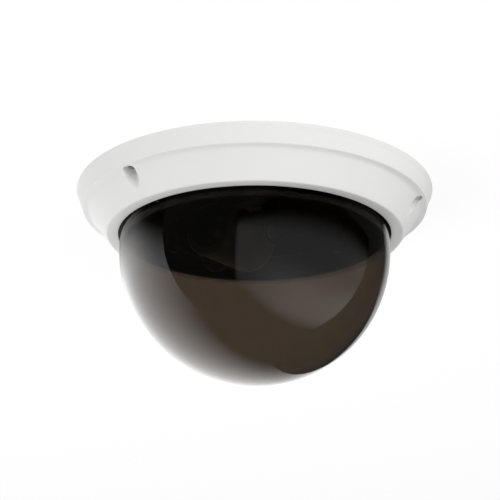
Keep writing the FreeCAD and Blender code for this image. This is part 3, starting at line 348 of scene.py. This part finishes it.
def make_materials():
    """One material for each material slot in the record."""
    made = {
        "smoked_dome": smoked_bubble(),
        "black_rubber": rubber("black_rubber", (0.004, 0.004, 0.004)),
        "circuit_board": circuit_board("circuit_board"),
        "lamp_lens": lamp_plastic("lamp_lens", (0.25, 0.75, 0.3)),
        "window_glass": clear_glass("window_glass", (0.9, 0.93, 0.95), coat=0.3),
        "lens_glass": clear_glass("lens_glass", (0.55, 0.5, 0.8), coat=0.6),
    }
    # colour, roughness, grain scale, grain depth, and then tint and specular where they differ
    plastics = {
        "white_cover": ((0.80, 0.80, 0.795), 0.48, 2600, 0.02, 0.012, 0.2),
        "black_liner": ((0.006, 0.006, 0.0062), 0.7, 1800, 0.04, 0.2, 0.08),
        "black_steel": ((0.014, 0.014, 0.015), 0.38, 2200, 0.03, 0.2),
        "chip_black": ((0.015, 0.015, 0.016), 0.48, 2400, 0.03, 0.2),
        "header_white": ((0.74, 0.71, 0.62), 0.45, 1500, 0.02),
        "button_plastic": ((0.5, 0.06, 0.05), 0.4, 1500, 0.02),
        "gear_plastic": ((0.05, 0.05, 0.05), 0.38, 1200, 0.02),
        "module_black": ((0.020, 0.020, 0.0215), 0.36, 1900, 0.03, 0.15),
    }
    # colour, roughness, scale of the marks, and then how they are drawn out
    metals = {
        "steel": ((0.62, 0.61, 0.60), 0.3, 700, (1, 1, 8)),
        "heat_sink_black": ((0.07, 0.07, 0.075), 0.42, 900, (8, 1, 1)),
        "brass_bush": ((0.74, 0.56, 0.27), 0.28, 800, (1, 6, 1)),
    }
    for slot, values in plastics.items():
        made[slot] = grained_plastic(slot, *values)
    for slot, values in metals.items():
        made[slot] = metal(slot, *values)
    made["die_cast"] = metal("die_cast", (0.60, 0.61, 0.62), 0.52, 900, depth=0.06, bare=0.3)
    return made


materials = make_materials()


def dress_cad_nodes():
    """Give every carried-over CAD node the material of its slot."""
    slots = {entry["node"]: entry["material_slot"] for entry in frame["record"]["subparts"]}
    for node, piece in frame["nodes"].items():
        piece.data.materials.clear()
        piece.data.materials.append(materials[slots[node]])


# ---------------------------------------------------------------- lathe work


def arc(centre, radius, start, end, steps):
    """Points on an arc in the radius and height plane, in degrees from the outward direction."""
    points = []
    for i in range(steps + 1):
        turn = math.radians(start + (end - start) * i / steps)
        points.append((centre[0] + radius * math.cos(turn), centre[1] + radius * math.sin(turn)))
    return points


def rounded(points, radii, steps=6):
    """A closed outline whose corners are rounded by their own radii; 0 keeps a corner sharp."""
    outline = []
    count = len(points)
    for i, (corner, radius) in enumerate(zip(points, radii)):
        here = Vector(corner)
        before = Vector(points[i - 1]) - here
        after = Vector(points[(i + 1) % count]) - here
        if radius == 0:
            outline.append(tuple(here))
            continue
        half = before.angle(after) / 2
        reach = radius / math.tan(half)
        middle = (before.normalized() + after.normalized()).normalized()
        centre = here + middle * (radius / math.sin(half))
        start = here + before.normalized() * reach - centre
        end = here + after.normalized() * reach - centre
        sweep = start.angle_signed(end)
        for step in range(steps + 1):
            turn = -sweep * step / steps
            cos, sin = math.cos(turn), math.sin(turn)
            outline.append((centre.x + start.x * cos - start.y * sin,
                            centre.y + start.x * sin + start.y * cos))
    return outline


def lathe(name, outline, closed=True):
    """A mesh made by turning an outline of radius and height round the dome's axis."""
    mesh = bmesh.new()
    rings = []
    for radius, height in outline:
        if radius < ON_AXIS:
            rings.append([mesh.verts.new((0, 0, height))] * TURN_SEGMENTS)
            continue
        ring = []
        for i in range(TURN_SEGMENTS):
            turn = 2 * math.pi * i / TURN_SEGMENTS
            ring.append(mesh.verts.new((radius * math.cos(turn), radius * math.sin(turn), height)))
        rings.append(ring)
    pairs = list(zip(rings, rings[1:]))
    if closed:
        pairs.append((rings[-1], rings[0]))
    for one, other in pairs:
        for i in range(TURN_SEGMENTS):
            j = (i + 1) % TURN_SEGMENTS
            corners = []
            for vertex in (one[i], one[j], other[j], other[i]):
                if vertex not in corners:
                    corners.append(vertex)
            if len(corners) > 2:
                mesh.faces.new(corners)
    bmesh.ops.recalc_face_normals(mesh, faces=mesh.faces)
    return as_object(mesh, name)


def finish_piece(piece, body, slot, *nodes):
    """Material, body and the CAD nodes that a new piece stands for."""
    piece.data.materials.clear()
    piece.data.materials.append(materials[slot])
    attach(piece, body)
    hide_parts(*nodes)


def shade(piece, angle):
    """Smooth shading over every edge flatter than the angle."""
    limit = math.radians(angle)
    mesh = bmesh.new()
    mesh.from_mesh(piece.data)
    for edge in mesh.edges:
        edge.smooth = len(edge.link_faces) == 2 and edge.calc_face_angle() < limit
    for face in mesh.faces:
        face.smooth = True
    mesh.to_mesh(piece.data)
    mesh.free()


# ---------------------------------------------------------------- cover and bubble


def cylinder_tool(radius, centre, low, high):
    """An upright cylinder between two heights."""
    mesh = bmesh.new()
    bmesh.ops.create_cone(mesh, cap_ends=True, segments=TOOL_SEGMENTS, radius1=radius, radius2=radius,
                          depth=high - low)
    bmesh.ops.translate(mesh, verts=mesh.verts, vec=(centre.x, centre.y, (high + low) / 2))
    return as_object(mesh, "tool")


def boss_tool(azimuth):
    """The block of material behind one screw pocket, drawn as its section and widened both ways."""
    sideways = direction(azimuth + 90, 0) * BOSS_HALF_WIDTH * MM
    mesh = bmesh.new()
    ends = []
    for side in (-1, 1):
        ends.append([mesh.verts.new(around(radius * MM, azimuth, height * MM) + sideways * side)
                     for radius, height in BOSS_SECTION])
    count = len(BOSS_SECTION)
    for i in range(count):
        j = (i + 1) % count
        mesh.faces.new((ends[0][i], ends[0][j], ends[1][j], ends[1][i]))
    for end in ends:
        mesh.faces.new(end)
    bmesh.ops.recalc_face_normals(mesh, faces=mesh.faces)
    return as_object(mesh, "tool")


def combine(piece, tool, operation):
    """Apply one boolean and drop the tool."""
    modifier = piece.modifiers.new("combine", "BOOLEAN")
    modifier.operation = operation
    modifier.solver = "EXACT"
    modifier.object = tool
    depsgraph = bpy.context.evaluated_depsgraph_get()
    result = bpy.data.meshes.new_from_object(piece.evaluated_get(depsgraph))
    piece.modifiers.clear()
    piece.data = result
    bpy.data.objects.remove(tool)


def on_pocket_wall(vertex, azimuth):
    """Whether a vertex lies on the round wall of the pocket at an azimuth."""
    axis = around(POCKET_CIRCLE * MM, azimuth, vertex.co.z)
    return abs((vertex.co - axis).length - POCKET_RADIUS * MM) < 0.02 * MM


def round_pocket_mouths(cover):
    """A small moulded radius where each screw pocket breaks through the outside of the cover."""
    mesh = bmesh.new()
    mesh.from_mesh(cover.data)
    mouths = []
    for edge in mesh.edges:
        middle = (edge.verts[0].co + edge.verts[1].co) / 2
        outside = middle.z <= (POCKET_FLOOR_HEIGHT - 1) * MM
        if not outside or len(edge.link_faces) != 2 or edge.calc_face_angle() < math.radians(15):
            continue
        if any(all(on_pocket_wall(vertex, azimuth) for vertex in edge.verts)
               for azimuth in POCKET_AZIMUTHS):
            mouths.append(edge)
    bmesh.ops.bevel(mesh, geom=mouths, offset=MOUTH_RADIUS * MM, segments=3, profile=0.5,
                    affect="EDGES", clamp_overlap=True)
    mesh.to_mesh(cover.data)
    mesh.free()


def make_cover():
    """The white cover with its three screw pockets, left out of the bubble's mirror reflections."""
    points = [(radius * MM, height * MM) for (radius, height), _ in COVER_SECTION]
    cover = lathe("cover", rounded(points, [radius * MM for _, radius in COVER_SECTION]))
    for azimuth in POCKET_AZIMUTHS:
        combine(cover, boss_tool(azimuth), "UNION")
    floor_z = POCKET_FLOOR_HEIGHT * MM
    for azimuth in POCKET_AZIMUTHS:
        place = around(POCKET_CIRCLE * MM, azimuth, 0)
        pocket = cylinder_tool(POCKET_RADIUS * MM, place, -30 * MM, floor_z)
        combine(cover, pocket, "DIFFERENCE")
        hole = cylinder_tool(SCREW_HOLE_RADIUS * MM, place, floor_z - 2 * MM, floor_z + 4 * MM)
        combine(cover, hole, "DIFFERENCE")
    round_pocket_mouths(cover)
    shade(cover, 28)
    cover.visible_glossy = False
    finish_piece(cover, "housing", "white_cover", "cover_casing")


def make_bubble():
    """The bubble as one closed shell: two concentric bowls with a neck and a flange."""
    centre = (0, BUBBLE_CENTRE_Z)
    inner = BUBBLE_RADIUS - BUBBLE_WALL
    outline = arc(centre, BUBBLE_RADIUS, -90, 0, BOWL_STEPS)
    outline += rounded((
        (BUBBLE_RADIUS, FLANGE_BOTTOM_Z),
        (FLANGE_RADIUS, FLANGE_BOTTOM_Z),
        (FLANGE_RADIUS, FLANGE_TOP_Z),
        (inner, FLANGE_TOP_Z),
    ), (0, FLANGE_ROUNDING, FLANGE_ROUNDING, FLANGE_ROUNDING), 3)
    outline += arc(centre, inner, 0, -90, BOWL_STEPS)
    bubble = lathe("bubble", outline, closed=False)
    shade(bubble, 40)
    finish_piece(bubble, "housing", "smoked_dome", "dome_bubble")


# ---------------------------------------------------------------- stage, lights and camera


def smooth(value, start, end):
    """0 before the start, 1 after the end and an even curve between."""
    share = min(1, max(0, (value - start) / (end - start)))
    return share * share * (3 - 2 * share)


def plane(name, half, height):
    """A level square; half is half its width."""
    corners = [(x * half, y * half, height) for x, y in ((-1, -1), (1, -1), (1, 1), (-1, 1))]
    data = bpy.data.meshes.new(name)
    data.from_pydata(corners, [], [(0, 1, 2, 3)])
    return linked(name, data)


def make_ceiling():
    """A bright white ceiling that shows only from below and takes a faint shadow."""
    nodes = Nodes("ceiling_white")
    glow = nodes.add("ShaderNodeEmission")
    glow.inputs["Strength"].default_value = CEILING_GLOW
    paint = nodes.add("ShaderNodeBsdfDiffuse")
    paint.inputs["Color"].default_value = (CEILING_PAINT, CEILING_PAINT, CEILING_PAINT, 1)
    both = nodes.add("ShaderNodeAddShader")
    nodes.link(glow.outputs[0], both.inputs[0])
    nodes.link(paint.outputs[0], both.inputs[1])
    clear = nodes.add("ShaderNodeBsdfTransparent")
    side = nodes.add("ShaderNodeMixShader")
    nodes.link(nodes.add("ShaderNodeNewGeometry").outputs["Backfacing"], side.inputs["Fac"])
    nodes.link(both.outputs[0], side.inputs[1])
    nodes.link(clear.outputs[0], side.inputs[2])
    nodes.link(side.outputs[0], nodes.output.inputs["Surface"])
    ceiling = plane("ceiling", CEILING_HALF_WIDTH, CEILING_GAP)
    ceiling.data.flip_normals()
    ceiling.data.materials.append(nodes.material)
    ceiling.visible_glossy = False
    ceiling.visible_transmission = False


def make_floor():
    """A pale floor, a room's height below."""
    nodes = Nodes("floor_pale")
    shader = nodes.shader(Roughness=0.8, Emission_Strength=FLOOR_GLOW)
    nodes.link(nodes.ramp(nodes.noise(3, 2), (0.80, 0.80, 0.80), (0.83, 0.83, 0.83)),
               shader.inputs["Base Color"])
    floor = plane("floor", FLOOR_HALF_WIDTH, FLOOR_Z)
    floor.data.materials.append(nodes.material)
    floor.visible_glossy = False
    floor.visible_diffuse = False
    floor.visible_transmission = False


def make_world():
    """White where it is seen, straight or through both walls of the bubble, nearly dark in mirror
    reflections, and for plain lighting mostly from underneath."""
    nodes = Nodes("studio", world=True)
    scene.world = nodes.material
    rays = nodes.add("ShaderNodeLightPath")
    heading = nodes.add("ShaderNodeSeparateXYZ")
    nodes.link(nodes.add("ShaderNodeTexCoord").outputs["Generated"], heading.inputs[0])
    ambient = nodes.add("ShaderNodeMapRange", interpolation_type="SMOOTHSTEP")
    ambient.inputs["From Min"].default_value = -1.0
    ambient.inputs["From Max"].default_value = 0.0
    ambient.inputs["To Min"].default_value = NADIR_GLOW
    ambient.inputs["To Max"].default_value = HORIZON_GLOW
    nodes.link(heading.outputs["Z"], ambient.inputs["Value"])
    mirrored = nodes.add("ShaderNodeMix")
    mirrored.inputs["B"].default_value = MIRRORED_GLOW
    nodes.link(rays.outputs["Is Glossy Ray"], mirrored.inputs["Factor"])
    nodes.link(ambient.outputs["Result"], mirrored.inputs["A"])
    through = nodes.add("ShaderNodeMath", operation="GREATER_THAN")
    through.inputs[1].default_value = SURFACES_OF_ONE_WALL + 0.5
    nodes.link(rays.outputs["Transmission Depth"], through.inputs[0])
    seen = nodes.add("ShaderNodeMath", operation="MAXIMUM")
    nodes.link(rays.outputs["Is Camera Ray"], seen.inputs[0])
    nodes.link(through.outputs[0], seen.inputs[1])
    final = nodes.add("ShaderNodeMix")
    final.inputs["B"].default_value = 1.0
    nodes.link(seen.outputs[0], final.inputs["Factor"])
    nodes.link(mirrored.outputs["Result"], final.inputs["A"])
    background = nodes.add("ShaderNodeBackground")
    nodes.link(final.outputs["Result"], background.inputs["Strength"])
    nodes.link(background.outputs[0], nodes.output.inputs["Surface"])


def soft_panel(name, corners, glow):
    """A studio panel that only mirror reflections see, set by its corners' directions.

    glow gives the light at a place on the panel from how far across and how far down it is.
    """
    centre = Vector((0, 0, BUBBLE_CENTRE_Z))
    top_left, bottom_left, bottom_right, top_right = (
        centre + direction(azimuth, elevation) * PANEL_DISTANCE for azimuth, elevation in corners)
    mesh = bmesh.new()
    layer = mesh.verts.layers.float.new("glow")
    rows = []
    for j in range(PANEL_STEPS + 1):
        down = j / PANEL_STEPS
        row = []
        for i in range(PANEL_STEPS + 1):
            across = i / PANEL_STEPS
            top = top_left.lerp(top_right, across)
            vertex = mesh.verts.new(top.lerp(bottom_left.lerp(bottom_right, across), down))
            vertex[layer] = glow(across, down)
            row.append(vertex)
        rows.append(row)
    for upper, lower in zip(rows, rows[1:]):
        for i in range(PANEL_STEPS):
            mesh.faces.new((upper[i], upper[i + 1], lower[i + 1], lower[i]))
    panel = as_object(mesh, name)
    nodes = Nodes(name)
    light = nodes.add("ShaderNodeEmission")
    stored = nodes.add("ShaderNodeAttribute", attribute_name="glow")
    nodes.link(stored.outputs["Fac"], light.inputs["Strength"])
    nodes.link(light.outputs[0], nodes.output.inputs["Surface"])
    panel.data.materials.append(nodes.material)
    panel.visible_camera = False
    panel.visible_diffuse = False
    panel.visible_transmission = False
    panel.visible_shadow = False


def window_glow(across, down):
    """Dim at its top and left, with a brighter part low on the right."""
    level = 0.34 + 0.46 * smooth(down, 0.36, 0.58) * smooth(across, 0.15, 0.6)
    edges = smooth(down, 0.08, 0.28) * smooth(across, 0, 0.05) * (1 - smooth(down, 0.7, 1.0))
    return level * edges


def side_glow(across, down):
    """Bright in the middle of its height, fading downwards and towards its near edge."""
    level = 1.0 + 1.6 * smooth(across, 0.03, 0.62) - 1.15 * smooth(across, 0.66, 1.0)
    top = 0.32 + 0.16 * (1 - smooth(across, 0, 0.4))
    return level * smooth(down, 0.17, top) * (1 - smooth(down, 0.38, 0.98))


def edge_glow(across, down):
    """Fading out at its top and towards its far end."""
    return 0.75 * smooth(down, 0, 0.2) * (1 - smooth(across, 0.5, 1.0))


def soft_lamp(name, azimuth, elevation, watts):
    """A square lamp for plain shading, left out of mirror reflections."""
    lamp = bpy.data.lights.new(name, "AREA")
    lamp.energy = watts
    lamp.size = LAMP_SIZE
    item = linked(name, lamp)
    outwards = direction(azimuth, elevation)
    item.location = Vector((0, 0, BUBBLE_CENTRE_Z)) + outwards * LAMP_DISTANCE
    item.rotation_euler = (-outwards).to_track_quat("-Z", "Y").to_euler()
    item.visible_glossy = False
    item.visible_transmission = False


def make_lights():
    """Two soft lamps, and in the bubble a window, a large soft box on the left and a dim strip."""
    soft_lamp("front_lamp", *FRONT_LAMP)
    soft_lamp("left_lamp", *LEFT_LAMP)
    soft_panel("window_panel", WINDOW_CORNERS, window_glow)
    soft_panel("side_panel", SIDE_CORNERS, side_glow)
    soft_panel("edge_panel", EDGE_CORNERS, edge_glow)


def make_camera():
    """Below and in front of the dome, looking up at it."""
    lens = bpy.data.cameras.new("view")
    lens.sensor_width = SENSOR_WIDTH
    lens.lens = FOCAL_LENGTH
    item = linked("view", lens)
    item.location = direction(0, -CAMERA_DEPRESSION) * CAMERA_DISTANCE
    item.rotation_euler = direction(AIM_AZIMUTH, AIM_ELEVATION).to_track_quat("-Z", "Y").to_euler()
    scene.camera = item


make_camera()
dress_cad_nodes()
make_cover()
make_bubble()
make_ceiling()
make_floor()
make_world()
make_lights()
scene.view_settings.view_transform = "Standard"
